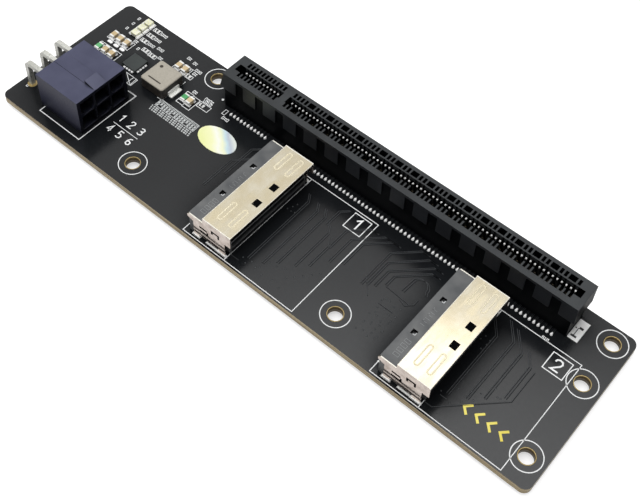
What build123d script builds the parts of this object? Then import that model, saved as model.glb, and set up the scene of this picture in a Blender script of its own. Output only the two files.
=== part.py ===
from build123d import *
import os

os.makedirs("parts", exist_ok=True)

# A riser board that takes two flat cable plugs and one expansion card.
# Millimetres. X runs along the board, from the power header's end to the far end.
# Y runs from the cable sockets' edge to the card slot's edge. Z is up.
# The origin is under the middle of the board, at the tips of the soldered tails.

# Board
BOARD_THICKNESS = 1.6
BOARD_CORNER_RADIUS = 3.0
TAIL_BELOW_BOARD = 1.2
HOLE_CLEARANCE = 0.12
LEFT_EDGE_TO_SLOT = 38.85
SLOT_TO_RIGHT_EDGE = 10.75
FRONT_EDGE_TO_SOCKET = 1.3
SOCKET_TO_SLOT = 3.75
SLOT_TO_BACK_EDGE = 1.65

# Mounting holes
HOLE_RADIUS = 1.6
HOLE_ROW_FROM_FRONT = 5.6
HOLE_ROW_FROM_BACK = 3.65
HOLE_COLUMN_FROM_RIGHT = 3.8
FRONT_HOLE_FROM_LEFT = 35.6
MIDDLE_HOLE_FROM_LEFT = 91.1
BACK_HOLE_FROM_LEFT = 32.4
EXTRA_HOLE_FROM_BACK = 14.55

# Card slot
CONTACT_PITCH = 1.0
KEYED_CONTACTS = 11
MAIN_CONTACTS = 71
KEY_GAP = 3.0
KEY_WIDTH = 1.65
SLOT_END_TO_CONTACT = 3.0
SLOT_END_WALL = 1.2
SLOT_BASE_INSET = 0.7
SLOT_TOP_WIDTH = 7.0
SLOT_TOP_HEIGHT = 10.6
SLOT_FLANGE_DEPTH = 0.7
SLOT_HEAD_DEPTH = 5.0
SLOT_STEP = 0.15
SLOT_BASE_STEP = 0.45
SLOT_STANDOFF = 0.45
SLOT_FLOOR_HEIGHT = 2.6
CARD_GAP = 1.9
COMB_DEPTH = 1.65
COMB_WIDTH = 0.62
PANEL_COUNT = 16
PANEL_GAP = 2.2
PANEL_DEPTH = 0.3
END_RAMP_REACH = 1.2
SLOT_FOOT_LENGTH = 1.8
SLOT_LOCK_LENGTH = 1.4
SLOT_LOCK_WIDTH = 2.4

# Contact numbers at which a signal pair starts, on each side of the card slot
BACK_PAIRS = [16, 21, 25, 29, 35, 39, 43, 47, 52, 56, 60, 64, 68, 72, 76, 80]
FRONT_PAIRS = [14, 19, 23, 27, 33, 37, 41, 45, 50, 54, 58, 62, 66, 70, 74, 78]

# Card slot contacts
STRIP_WIDTH = 0.4
STRIP_THICKNESS = 0.2
FOOT_REACH = 1.1
CONTACT_TIP_FROM_TOP = 1.6
CONTACT_TIP_GAP = 1.3

# Cable sockets
SOCKET_PITCH = 0.6
SOCKET_COLUMNS = 37
SOCKET_END_MARGIN = 1.75
SOCKET_SPACING = 48.2
SOCKET_FROM_LEFT = 55.45
SHEET = 0.25
SHELL_TOP_HEIGHT = 7.1
SHELL_REAR_HEIGHT = 5.75
SHELL_TAIL_START = 0.75
SHELL_STEP_AT = 4.9
SHELL_FRONT_AT = 12.35
SHELL_LEG_FRONT = 10.8
SHELL_LEG_WIDTH = 1.9
SHELL_REAR_LEG_AT = 2.3
SHELL_REAR_LEG_WIDTH = 1.5
SHELL_SKIRT_HEIGHT = 0.7
SHELL_LIP_HEIGHT = 4.0
SHELL_TAIL_LOW = 4.1
SHELL_TAIL_CORNER = 0.5
SLIT_WIDTH = 0.35
TONGUE_AT = 4.0
TONGUE_TOP = 3.98
TONGUE_LOW = 2.4
TONGUE_LENGTH = 2.0
TONGUE_STEP = 0.3
HOOK_AT = 7.25
HOOK_LENGTH = 2.1
HOOK_TOP = 5.3
HOOK_REAR_DROP = 1.0
HOOK_FRONT_DROP = 1.2
WINDOW_LENGTH = 1.5
WINDOW_WIDTH = 1.75
WINDOW_PITCH = 5.1
WINDOW_FROM_FRONT = 2.0
BLOCK_REAR_AT = 1.0
UNDER_STEP_DEPTH = 1.2
NOSE_FRONT_AT = 11.2
NOSE_HEIGHT = 3.4
NOSE_SIDE_MARGIN = 0.6
PLUG_GAP = 1.0
PLUG_GAP_LOW = 1.2
PLUG_GAP_DEPTH = 6.5
BLOCK_NOTCH = 1.0
BLOCK_NOTCH_PITCH = 9.1
BLOCK_NOTCH_AT = 2.4
TAIL_WIDTH = 0.26
TAIL_HEIGHT = 0.35
TAIL_REACH = 0.85

# Power header
CELL_COLUMNS = 3
CELL_ROWS = 2
CELL_PITCH = 4.2
CELL_SIZE = 3.75
CELL_CORNER = 0.8
HEADER_WALL = 0.83
HEADER_DEPTH = 12.85
HEADER_FROM_LEFT = 8.85
HEADER_FROM_FRONT = 3.95
HEADER_BACK_WALL = 2.2
PIN_SIZE = 1.07
PIN_BEND = 0.6
PIN_BEND_ROOM = 0.05
PIN_FROM_MOUTH = 2.6
UPPER_PIN_REACH = 6.3
PIN_ROW_SPACING = 5.5
RAMP_LENGTH = 3.1
RAMP_HEIGHT = 0.9
RAMP_WIDTH = 3.4
RIB_HEIGHT = 0.08

# Inductor
INDUCTOR_LENGTH = 6.8
INDUCTOR_WIDTH = 6.8
INDUCTOR_HEIGHT = 3.1
INDUCTOR_CORNER = 0.4
INDUCTOR_BEVEL = 0.2
INDUCTOR_FROM_LEFT = 24.3
INDUCTOR_FROM_BACK = 13.2
TERMINAL_WIDTH = 3.3
TERMINAL_REACH = 1.1
TERMINAL_THICKNESS = 0.25
TERMINAL_RISE = 1.3

# Regulator chip
CHIP_SIZE = 4.0
CHIP_HEIGHT = 0.85
CHIP_FROM_LEFT = 15.3
CHIP_FROM_BACK = 12.95
CHIP_LEADS = 4
CHIP_LEAD_PITCH = 0.8
CHIP_LEAD_WIDTH = 0.3
CHIP_LEAD_REACH = 0.25
CHIP_LEAD_HEIGHT = 0.15

# Chip parts: length, width, height, end cap
CAPACITOR_SIZE = (2.0, 1.25, 1.0, 0.42)
RESISTOR_SIZE = (1.0, 0.55, 0.35, 0.25)
FUSE_SIZE = (2.0, 1.25, 0.6, 0.4)
LED_SIZE = (2.8, 1.6, 0.9, 0.5)
LED_BASE_HEIGHT = 0.35

# Chip part centres: distance from the left edge, then from the back edge
CAPACITORS = [(5.3, 9.85), (7.35, 9.85), (9.4, 9.85), (7.25, 14.5), (9.3, 14.5), (23.3, 6.85), (25.2, 6.85),
              (32.7, 13.0)]
FUSES = [(5.1, 14.5), (30.9, 12.8)]
ROW_RESISTORS = [(11.5, 2.1), (11.5, 4.2), (11.5, 6.3)]
LONE_RESISTORS = [(14.0, 8.3), (16.3, 8.5), (26.9, 7.65), (35.3, 11.9)]
LEDS = [(8.45, 1.9), (8.45, 4.0), (8.45, 6.1)]

# Worked-out sizes
SLOT_LENGTH = (2 * SLOT_END_TO_CONTACT + KEY_GAP
               + (KEYED_CONTACTS - 1 + MAIN_CONTACTS - 1) * CONTACT_PITCH)
SOCKET_WIDTH = (SOCKET_COLUMNS - 1) * SOCKET_PITCH + 2 * SOCKET_END_MARGIN
NOSE_WIDTH = (SOCKET_COLUMNS - 1) * SOCKET_PITCH + 2 * NOSE_SIDE_MARGIN
BOARD_LENGTH = LEFT_EDGE_TO_SLOT + SLOT_LENGTH + SLOT_TO_RIGHT_EDGE
BOARD_WIDTH = FRONT_EDGE_TO_SOCKET + SOCKET_WIDTH + SOCKET_TO_SLOT + SLOT_TOP_WIDTH + SLOT_TO_BACK_EDGE
HEADER_WIDTH = (CELL_COLUMNS - 1) * CELL_PITCH + CELL_SIZE + 2 * HEADER_WALL
HEADER_HEIGHT = (CELL_ROWS - 1) * CELL_PITCH + CELL_SIZE + 2 * HEADER_WALL
BOARD_TOP = TAIL_BELOW_BOARD + BOARD_THICKNESS
LEFT = -BOARD_LENGTH / 2
RIGHT = BOARD_LENGTH / 2
FRONT = -BOARD_WIDTH / 2
BACK = BOARD_WIDTH / 2
SLOT_START = LEFT + LEFT_EDGE_TO_SLOT
SLOT_END = SLOT_START + SLOT_LENGTH
SLOT_Y = BACK - SLOT_TO_BACK_EDGE - SLOT_TOP_WIDTH / 2
SOCKET_Y = FRONT + FRONT_EDGE_TO_SOCKET + SOCKET_WIDTH / 2
HEADER_REAR = LEFT + HEADER_FROM_LEFT
HEADER_MOUTH = HEADER_REAR + HEADER_DEPTH
HEADER_Y = FRONT + HEADER_FROM_FRONT + HEADER_WIDTH / 2
HEAD_HALF = SLOT_TOP_WIDTH / 2 - SLOT_STEP
BASE_HALF = SLOT_TOP_WIDTH / 2 - SLOT_BASE_STEP
HEAD_LOW = SLOT_TOP_HEIGHT - SLOT_HEAD_DEPTH
COMB_HALF = CARD_GAP / 2 + COMB_DEPTH


def block(x_span, y_span, z_span):
    """A box given by its low and high value on each axis."""
    size = [span[1] - span[0] for span in (x_span, y_span, z_span)]
    middle = [(span[0] + span[1]) / 2 for span in (x_span, y_span, z_span)]
    return Pos(*middle) * Box(*size)


def prism(points, low, high):
    """An upright solid whose plan is the polygon through points."""
    face = make_face(Polyline(*points, close=True))
    return Pos(0, 0, low) * extrude(face, amount=high - low, dir=(0, 0, 1))


def side_prism(points, y_low, y_high):
    """A solid whose outline is seen from the side, as X and Z, from y_low to y_high."""
    wire = Polyline(*[(x, y_low, z) for x, z in points], close=True)
    return extrude(make_face(wire), amount=y_high - y_low, dir=(0, 1, 0))


def end_prism(points, x_low, x_high):
    """A solid whose outline is seen from the end, as Y and Z, from x_low to x_high."""
    wire = Polyline(*[(x_low, y, z) for y, z in points], close=True)
    return extrude(make_face(wire), amount=x_high - x_low, dir=(1, 0, 0))


def save(name, solids):
    """Writes one node, from one solid or from a list of separate ones."""
    found = []
    for item in solids if isinstance(solids, list) else [solids]:
        found.extend(item.solids())
    shape = found[0] if len(found) == 1 else Compound(children=found)
    export_step(shape, "parts/" + name + ".step")


def on_board(from_left, from_back):
    """The place of a small part, from its distances to two edges."""
    return LEFT + from_left, BACK - from_back


# Mounting holes

def hole_places():
    front_row = FRONT + HOLE_ROW_FROM_FRONT
    back_row = BACK - HOLE_ROW_FROM_BACK
    column = RIGHT - HOLE_COLUMN_FROM_RIGHT
    return [(LEFT + FRONT_HOLE_FROM_LEFT, front_row), (LEFT + MIDDLE_HOLE_FROM_LEFT, front_row),
            (column, front_row), (column, BACK - EXTRA_HOLE_FROM_BACK), (column, back_row),
            (LEFT + BACK_HOLE_FROM_LEFT, back_row)]


# Card slot

def contact_x(number):
    """The X of a contact, counted from 1 at the short section's end."""
    step = (number - 1) * CONTACT_PITCH
    if number > KEYED_CONTACTS:
        step += KEY_GAP - CONTACT_PITCH
    return SLOT_START + SLOT_END_TO_CONTACT + step


def section_numbers():
    return [range(1, KEYED_CONTACTS + 1),
            range(KEYED_CONTACTS + 1, KEYED_CONTACTS + MAIN_CONTACTS + 1)]


def key_x():
    before = contact_x(KEYED_CONTACTS)
    return (before + contact_x(KEYED_CONTACTS + 1)) / 2


def section_spans():
    """The two stretches of the card gap, on either side of the key."""
    half_key = KEY_WIDTH / 2
    return [(SLOT_START + SLOT_END_WALL, key_x() - half_key),
            (key_x() + half_key, SLOT_END - SLOT_END_WALL)]


def recess_spans(numbers, pairs):
    """X spans of the contact recesses, with each signal pair in one wide recess."""
    spans = []
    half = COMB_WIDTH / 2
    for number in numbers:
        if number - 1 in pairs:
            spans[-1] = (spans[-1][0], contact_x(number) + half)
        else:
            spans.append((contact_x(number) - half, contact_x(number) + half))
    return spans


def comb_outline(span, numbers):
    """The plan of one stretch of the card gap with the contact recesses on both sides."""
    near = CARD_GAP / 2
    points = [(span[0], SLOT_Y - near)]
    for low, high in recess_spans(numbers, FRONT_PAIRS):
        points += [(low, SLOT_Y - near), (low, SLOT_Y - COMB_HALF)]
        points += [(high, SLOT_Y - COMB_HALF), (high, SLOT_Y - near)]
    points += [(span[1], SLOT_Y - near), (span[1], SLOT_Y + near)]
    for low, high in reversed(recess_spans(numbers, BACK_PAIRS)):
        points += [(high, SLOT_Y + near), (high, SLOT_Y + COMB_HALF)]
        points += [(low, SLOT_Y + COMB_HALF), (low, SLOT_Y + near)]
    points.append((span[0], SLOT_Y + near))
    return points


def panel_grooves():
    """Upright grooves that leave a row of raised panels on both long sides."""
    pitch = (SLOT_LENGTH + PANEL_GAP) / PANEL_COUNT
    z_span = (BOARD_TOP + HEAD_LOW, BOARD_TOP + SLOT_TOP_HEIGHT - SLOT_FLANGE_DEPTH)
    solids = []
    for index in range(1, PANEL_COUNT):
        right = SLOT_START + index * pitch
        for side in (-1, 1):
            outer = SLOT_Y + side * HEAD_HALF
            y_span = sorted((outer, outer - side * PANEL_DEPTH))
            solids.append(block((right - PANEL_GAP, right), y_span, z_span))
    return solids


def lock_places():
    half_foot = SLOT_FOOT_LENGTH / 2
    return [SLOT_START + half_foot, SLOT_END - SLOT_BASE_INSET - half_foot]


def slot_profile():
    """The housing seen from its end: a narrow base, a wider head and a flange at the top."""
    top = BOARD_TOP + SLOT_TOP_HEIGHT
    head_low = BOARD_TOP + HEAD_LOW
    flange_low = top - SLOT_FLANGE_DEPTH
    low = BOARD_TOP + SLOT_STANDOFF
    half = SLOT_TOP_WIDTH / 2
    right = [(BASE_HALF, low), (BASE_HALF, head_low), (HEAD_HALF, head_low),
             (HEAD_HALF, flange_low), (half, flange_low), (half, top)]
    left = [(-y, z) for y, z in reversed(right)]
    return [(SLOT_Y + y, z) for y, z in right + left]


def slot_body():
    """The housing before the card gap is cut, with panels, a flared end and an inset base."""
    head_low = BOARD_TOP + HEAD_LOW
    flange_low = BOARD_TOP + SLOT_TOP_HEIGHT - SLOT_FLANGE_DEPTH
    body = end_prism(slot_profile(), SLOT_START, SLOT_END)
    flare = [(SLOT_START, head_low), (SLOT_START - END_RAMP_REACH, head_low), (SLOT_START, flange_low)]
    body += side_prism(flare, SLOT_Y - HEAD_HALF, SLOT_Y + HEAD_HALF)
    body -= panel_grooves()
    body -= block((SLOT_END - SLOT_BASE_INSET, SLOT_END), (SLOT_Y - BASE_HALF, SLOT_Y + BASE_HALF),
                  (BOARD_TOP, head_low))
    return body


def slot_housing():
    low = BOARD_TOP + SLOT_STANDOFF
    floor = BOARD_TOP + SLOT_FLOOR_HEIGHT
    body = slot_body()
    for span, numbers in zip(section_spans(), section_numbers()):
        body -= prism(comb_outline(span, numbers), low, BOARD_TOP + SLOT_TOP_HEIGHT)
        body += block(span, (SLOT_Y - CARD_GAP / 2, SLOT_Y + CARD_GAP / 2), (low, floor))
    half_foot = SLOT_FOOT_LENGTH / 2
    for x in lock_places():
        lock = Box(SLOT_LOCK_LENGTH, SLOT_LOCK_WIDTH, low, align=(Align.CENTER, Align.CENTER, Align.MIN))
        foot = block((x - half_foot, x + half_foot), (SLOT_Y - BASE_HALF, SLOT_Y + BASE_HALF),
                     (BOARD_TOP, low))
        body += [Pos(x, SLOT_Y, 0) * lock, foot]
    return body


def contact_shape(side):
    """One contact: a foot on the board, then a spring that leans in towards the card."""
    tip_height = BOARD_TOP + SLOT_TOP_HEIGHT - CONTACT_TIP_FROM_TOP
    back = COMB_HALF
    thin = STRIP_THICKNESS
    tip = CONTACT_TIP_GAP / 2
    foot_end = SLOT_TOP_WIDTH / 2 + FOOT_REACH
    profile = [(foot_end, BOARD_TOP), (foot_end, BOARD_TOP + thin), (back, BOARD_TOP + thin),
               (tip + thin, tip_height), (tip, tip_height), (back - thin, BOARD_TOP)]
    points = [(SLOT_Y + side * y, z) for y, z in profile]
    return end_prism(points, -STRIP_WIDTH / 2, STRIP_WIDTH / 2)


def slot_contacts(side):
    strip = contact_shape(side)
    solids = []
    for numbers in section_numbers():
        solids += [Pos(contact_x(number), 0, 0) * strip for number in numbers]
    return solids


# Cable sockets

def socket_x(index):
    return LEFT + SOCKET_FROM_LEFT + index * SOCKET_SPACING


def leg_spans():
    rear = (SHELL_REAR_LEG_AT, SHELL_REAR_LEG_AT + SHELL_REAR_LEG_WIDTH)
    front = (SHELL_LEG_FRONT - SHELL_LEG_WIDTH, SHELL_LEG_FRONT)
    return [rear, front]


def shell_side(y_low):
    """One side wall of the stamped shell, with its legs through the board."""
    rear_leg, front_leg = leg_spans()
    skirt = BOARD_TOP + SHELL_SKIRT_HEIGHT
    tail_top = BOARD_TOP + SHELL_REAR_HEIGHT
    tail_low = BOARD_TOP + SHELL_TAIL_LOW
    corner = SHELL_TAIL_CORNER
    top = BOARD_TOP + SHELL_TOP_HEIGHT
    lip = BOARD_TOP + SHELL_LIP_HEIGHT
    points = [(SHELL_TAIL_START, tail_top - corner), (SHELL_TAIL_START + corner, tail_top),
              (SHELL_STEP_AT, tail_top), (SHELL_STEP_AT, top), (SHELL_FRONT_AT, top),
              (SHELL_FRONT_AT, lip), (front_leg[1], lip), (front_leg[1], 0), (front_leg[0], 0),
              (front_leg[0], skirt), (rear_leg[1], skirt), (rear_leg[1], 0), (rear_leg[0], 0),
              (rear_leg[0], tail_low), (SHELL_TAIL_START, tail_low + corner)]
    wall = side_prism(points, y_low, y_low + SHEET)
    return wall - shell_slits((y_low, y_low + SHEET))


def shell_slits(y_span):
    """The narrow slits that free two spring tongues in a side wall."""
    low = BOARD_TOP + TONGUE_LOW
    tongue = BOARD_TOP + TONGUE_TOP
    tongue_end = TONGUE_AT + TONGUE_LENGTH
    hook = BOARD_TOP + HOOK_TOP
    hook_end = HOOK_AT + HOOK_LENGTH
    return [block((TONGUE_AT, tongue_end), y_span, (tongue - SLIT_WIDTH, tongue)),
            block((TONGUE_AT, tongue_end + TONGUE_STEP), y_span, (low, low + SLIT_WIDTH)),
            block((tongue_end, tongue_end + TONGUE_STEP), y_span, (low, low + 3 * SLIT_WIDTH)),
            block((HOOK_AT, HOOK_AT + SLIT_WIDTH), y_span, (hook - HOOK_REAR_DROP, hook)),
            block((HOOK_AT, hook_end), y_span, (hook - SLIT_WIDTH, hook)),
            block((hook_end - SLIT_WIDTH, hook_end), y_span, (hook - HOOK_FRONT_DROP, hook))]


def socket_shell():
    """The stamped metal cover, drawn with the socket's rear line at X 0."""
    half = SOCKET_WIDTH / 2
    top = BOARD_TOP + SHELL_TOP_HEIGHT
    shell = block((SHELL_STEP_AT, SHELL_FRONT_AT), (-half, half), (top - SHEET, top))
    shell += [shell_side(-half), shell_side(half - SHEET)]
    window_x = SHELL_FRONT_AT - WINDOW_FROM_FRONT
    for y in (-WINDOW_PITCH / 2, WINDOW_PITCH / 2):
        shell -= block((window_x - WINDOW_LENGTH / 2, window_x + WINDOW_LENGTH / 2),
                       (y - WINDOW_WIDTH / 2, y + WINDOW_WIDTH / 2), (top - SHEET, top))
    return shell


def socket_block():
    """The moulded block: a tall rear part and a low nose with the plug's gap in its face."""
    half = SOCKET_WIDTH / 2 - SHEET
    rear_top = BOARD_TOP + SHELL_REAR_HEIGHT
    under_shell = BOARD_TOP + SHELL_TOP_HEIGHT - SHEET
    nose_rear = SHELL_STEP_AT + UNDER_STEP_DEPTH
    nose_half = NOSE_WIDTH / 2
    body = block((BLOCK_REAR_AT, nose_rear), (-half, half), (BOARD_TOP, rear_top))
    body += block((SHELL_STEP_AT, nose_rear), (-half, half), (BOARD_TOP, under_shell))
    body += block((nose_rear, NOSE_FRONT_AT), (-nose_half, nose_half),
                  (BOARD_TOP, BOARD_TOP + NOSE_HEIGHT))
    gap_low = BOARD_TOP + PLUG_GAP_LOW
    gap_half = nose_half - NOSE_SIDE_MARGIN
    body -= block((NOSE_FRONT_AT - PLUG_GAP_DEPTH, NOSE_FRONT_AT), (-gap_half, gap_half),
                  (gap_low, gap_low + PLUG_GAP))
    notch_span = (BLOCK_NOTCH_AT, BLOCK_NOTCH_AT + BLOCK_NOTCH)
    for y in (-BLOCK_NOTCH_PITCH / 2, BLOCK_NOTCH_PITCH / 2):
        body -= block(notch_span, (y - BLOCK_NOTCH / 2, y + BLOCK_NOTCH / 2),
                      (rear_top - BLOCK_NOTCH, rear_top))
    return body


def socket_contacts():
    """The row of sloping solder tails that comes out behind the moulded block."""
    first = -(SOCKET_COLUMNS - 1) * SOCKET_PITCH / 2
    outline = [(BLOCK_REAR_AT - TAIL_REACH, BOARD_TOP), (BLOCK_REAR_AT, BOARD_TOP),
               (BLOCK_REAR_AT, BOARD_TOP + TAIL_HEIGHT)]
    tail = side_prism(outline, -TAIL_WIDTH / 2, TAIL_WIDTH / 2)
    return [Pos(0, first + index * SOCKET_PITCH, 0) * tail for index in range(SOCKET_COLUMNS)]


# Power header

def column_y(index):
    return HEADER_Y + (index - (CELL_COLUMNS - 1) / 2) * CELL_PITCH


def row_z(index):
    return BOARD_TOP + HEADER_WALL + CELL_SIZE / 2 + index * CELL_PITCH


def header_cell(column, row):
    """One cell of the header, with the lower or upper corners cut as a key on every other cell."""
    low_x = HEADER_REAR + HEADER_BACK_WALL
    half = CELL_SIZE / 2
    y, z = column_y(column), row_z(row)
    cut = CELL_CORNER if (column + row) % 2 else 0.0
    points = [(y - half, z - half + cut), (y - half, z + half),
              (y + half, z + half), (y + half, z - half + cut)]
    if cut:
        points += [(y + half - cut, z - half), (y - half + cut, z - half)]
    return end_prism(points, low_x, HEADER_MOUTH)


def header_housing():
    top = BOARD_TOP + HEADER_HEIGHT
    y_span = (HEADER_Y - HEADER_WIDTH / 2, HEADER_Y + HEADER_WIDTH / 2)
    body = block((HEADER_REAR, HEADER_MOUTH), y_span, (BOARD_TOP, top))
    strip = (HEADER_Y - RAMP_WIDTH / 2, HEADER_Y + RAMP_WIDTH / 2)
    ramp_start = HEADER_MOUTH - RAMP_LENGTH
    body += side_prism([(HEADER_MOUTH, top), (ramp_start, top + RAMP_HEIGHT), (ramp_start, top)], *strip)
    body += block((HEADER_REAR, ramp_start), strip, (top, top + RIB_HEIGHT))
    back_span = (HEADER_REAR, HEADER_REAR + HEADER_BACK_WALL)
    half = PIN_SIZE / 2
    for column in range(CELL_COLUMNS):
        for row in range(CELL_ROWS):
            y, z = column_y(column), row_z(row)
            body -= header_cell(column, row)
            body -= block(back_span, (y - half, y + half), (z - half, z + half))
    return body


def pin_reach(row):
    return UPPER_PIN_REACH - (CELL_ROWS - 1 - row) * PIN_ROW_SPACING


def header_pin(column, row):
    """A square pin that runs out behind the housing and bends down through the board."""
    half = PIN_SIZE / 2
    y, z = column_y(column), row_z(row)
    x = HEADER_REAR - pin_reach(row)
    inner = min(PIN_BEND, pin_reach(row) - half - PIN_BEND_ROOM)
    outer = inner + PIN_SIZE
    tip = HEADER_MOUTH - PIN_FROM_MOUTH
    with BuildSketch(Plane.XZ) as outline:
        with BuildLine():
            Polyline((tip, z - half), (tip, z + half), (x - half + outer, z + half))
            RadiusArc((x - half + outer, z + half), (x - half, z + half - outer), -outer)
            Polyline((x - half, z + half - outer), (x - half, 0), (x + half, 0),
                     (x + half, z - half - inner))
            RadiusArc((x + half, z - half - inner), (x + half + inner, z - half), inner)
            Line((x + half + inner, z - half), (tip, z - half))
        make_face()
    return Pos(0, y, 0) * extrude(outline.sketch, amount=half, both=True)


def header_pins(row):
    return [header_pin(column, row) for column in range(CELL_COLUMNS)]


# Inductor and regulator

def inductor_core():
    x, y = on_board(INDUCTOR_FROM_LEFT, INDUCTOR_FROM_BACK)
    plan = Rectangle(INDUCTOR_LENGTH, INDUCTOR_WIDTH)
    plan = chamfer(plan.vertices(), INDUCTOR_CORNER)
    low = TERMINAL_THICKNESS
    core = Pos(x, y, BOARD_TOP + low) * extrude(plan, amount=INDUCTOR_HEIGHT - low)
    core = chamfer(core.faces().sort_by(Axis.Z)[-1].edges(), INDUCTOR_BEVEL)
    return core


def inductor_terminals():
    """Two flat tabs that come out under the core and turn up against its ends."""
    x, y = on_board(INDUCTOR_FROM_LEFT, INDUCTOR_FROM_BACK)
    half = TERMINAL_WIDTH / 2
    thin = TERMINAL_THICKNESS
    solids = []
    for side in (-1, 1):
        edge = x + side * INDUCTOR_LENGTH / 2
        foot = block((edge - TERMINAL_REACH, edge + TERMINAL_REACH), (y - half, y + half),
                     (BOARD_TOP, BOARD_TOP + thin))
        rise = block(sorted((edge, edge + side * thin)), (y - half, y + half),
                     (BOARD_TOP, BOARD_TOP + TERMINAL_RISE))
        solids.append(foot + rise)
    return solids


def regulator_chip():
    x, y = on_board(CHIP_FROM_LEFT, CHIP_FROM_BACK)
    half = CHIP_SIZE / 2
    return block((x - half, x + half), (y - half, y + half),
                 (BOARD_TOP + CHIP_LEAD_HEIGHT, BOARD_TOP + CHIP_HEIGHT))


def regulator_leads():
    x, y = on_board(CHIP_FROM_LEFT, CHIP_FROM_BACK)
    half = CHIP_SIZE / 2
    lead = block((half - CHIP_LEAD_REACH, half + CHIP_LEAD_REACH),
                 (-CHIP_LEAD_WIDTH / 2, CHIP_LEAD_WIDTH / 2), (0, CHIP_LEAD_HEIGHT))
    first = -(CHIP_LEADS - 1) * CHIP_LEAD_PITCH / 2
    solids = []
    for turn in (0, 90, 180, 270):
        edge = Pos(x, y, BOARD_TOP) * Rot(0, 0, turn)
        solids += [edge * Pos(0, first + index * CHIP_LEAD_PITCH, 0) * lead for index in range(CHIP_LEADS)]
    return solids


# Chip parts

def chip_body(size, place, along_y):
    """The middle of a chip part, between its two end caps."""
    length, width, height, cap = size
    x, y = on_board(*place)
    turn = 90 if along_y else 0
    body = block((-length / 2 + cap, length / 2 - cap), (-width / 2, width / 2), (0, height))
    return Pos(x, y, BOARD_TOP) * Rot(0, 0, turn) * body


def chip_ends(size, place, along_y):
    length, width, height, cap = size
    x, y = on_board(*place)
    turn = 90 if along_y else 0
    ends = []
    for low in (-length / 2, length / 2 - cap):
        end = block((low, low + cap), (-width / 2, width / 2), (0, height))
        ends.append(Pos(x, y, BOARD_TOP) * Rot(0, 0, turn) * end)
    return ends


def chip_group(size, places, along_y):
    bodies = [chip_body(size, place, along_y) for place in places]
    ends = []
    for place in places:
        ends += chip_ends(size, place, along_y)
    return bodies, ends


def led_parts():
    """White bases with a metal cap at each end, and a clear block on each."""
    length, width, height, cap = LED_SIZE
    bases, ends = chip_group((length, width, LED_BASE_HEIGHT, cap), LEDS, False)
    lenses = []
    for place in LEDS:
        x, y = on_board(*place)
        lens = block((-length / 2 + cap, length / 2 - cap), (-width / 2, width / 2),
                     (LED_BASE_HEIGHT, height))
        lenses.append(Pos(x, y, BOARD_TOP) * lens)
    return bases, ends, lenses


# Circuit board

def leg_slots():
    """Board slots for the shells' legs, with a little room round each leg."""
    room = HOLE_CLEARANCE
    half = SOCKET_WIDTH / 2
    solids = []
    for index in (0, 1):
        for low, high in leg_spans():
            x_span = (socket_x(index) + low - room, socket_x(index) + high + room)
            for y in (SOCKET_Y - half, SOCKET_Y + half - SHEET):
                solids.append(block(x_span, (y - room, y + SHEET + room), (TAIL_BELOW_BOARD, BOARD_TOP)))
    return solids


def board_holes():
    """Every hole through the board, as solids to cut away."""
    low = (Align.CENTER, Align.CENTER, Align.MIN)
    screw_room = Cylinder(HOLE_RADIUS, BOARD_THICKNESS, align=low)
    solids = [Pos(x, y, TAIL_BELOW_BOARD) * screw_room for x, y in hole_places()]
    width = PIN_SIZE + 2 * HOLE_CLEARANCE
    pin_room = Box(width, width, BOARD_THICKNESS, align=low)
    for column in range(CELL_COLUMNS):
        for row in range(CELL_ROWS):
            place = Pos(HEADER_REAR - pin_reach(row), column_y(column), TAIL_BELOW_BOARD)
            solids.append(place * pin_room)
    lock_room = Box(SLOT_LOCK_LENGTH + 2 * HOLE_CLEARANCE, SLOT_LOCK_WIDTH + 2 * HOLE_CLEARANCE,
                    BOARD_THICKNESS, align=low)
    solids += [Pos(x, SLOT_Y, TAIL_BELOW_BOARD) * lock_room for x in lock_places()]
    return solids + leg_slots()


def circuit_board():
    plan = RectangleRounded(BOARD_LENGTH, BOARD_WIDTH, BOARD_CORNER_RADIUS)
    slab = Pos(0, 0, TAIL_BELOW_BOARD) * extrude(plan, amount=BOARD_THICKNESS)
    return slab - board_holes()


# All nodes

def build():
    save("circuit_board", circuit_board())
    save("slot_housing", slot_housing())
    save("slot_contacts_front", slot_contacts(-1))
    save("slot_contacts_back", slot_contacts(1))
    for index in (0, 1):
        place = Pos(socket_x(index), SOCKET_Y, 0)
        name = "socket_%d" % (index + 1)
        save(name + "_shell", place * socket_shell())
        save(name + "_block", place * socket_block())
        save(name + "_contacts", [place * tail for tail in socket_contacts()])
    save("power_header_housing", header_housing())
    save("power_pins_upper", header_pins(1))
    save("power_pins_lower", header_pins(0))
    save("inductor_core", inductor_core())
    save("inductor_terminals", inductor_terminals())
    save("regulator_chip", regulator_chip())
    save("regulator_leads", regulator_leads())
    capacitors, capacitor_ends = chip_group(CAPACITOR_SIZE, CAPACITORS, True)
    fuses, fuse_ends = chip_group(FUSE_SIZE, FUSES, True)
    resistors, resistor_ends = chip_group(RESISTOR_SIZE, ROW_RESISTORS + LONE_RESISTORS, False)
    bases, led_ends, lenses = led_parts()
    save("capacitor_bodies", capacitors)
    save("capacitor_ends", capacitor_ends)
    save("fuse_bodies", fuses)
    save("fuse_ends", fuse_ends)
    save("resistor_bodies", resistors)
    save("resistor_ends", resistor_ends)
    save("led_bases", bases)
    save("led_ends", led_ends)
    save("led_lenses", lenses)


build()
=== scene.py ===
import math

import bpy
import bmesh
from mathutils import Matrix, Vector


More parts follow.
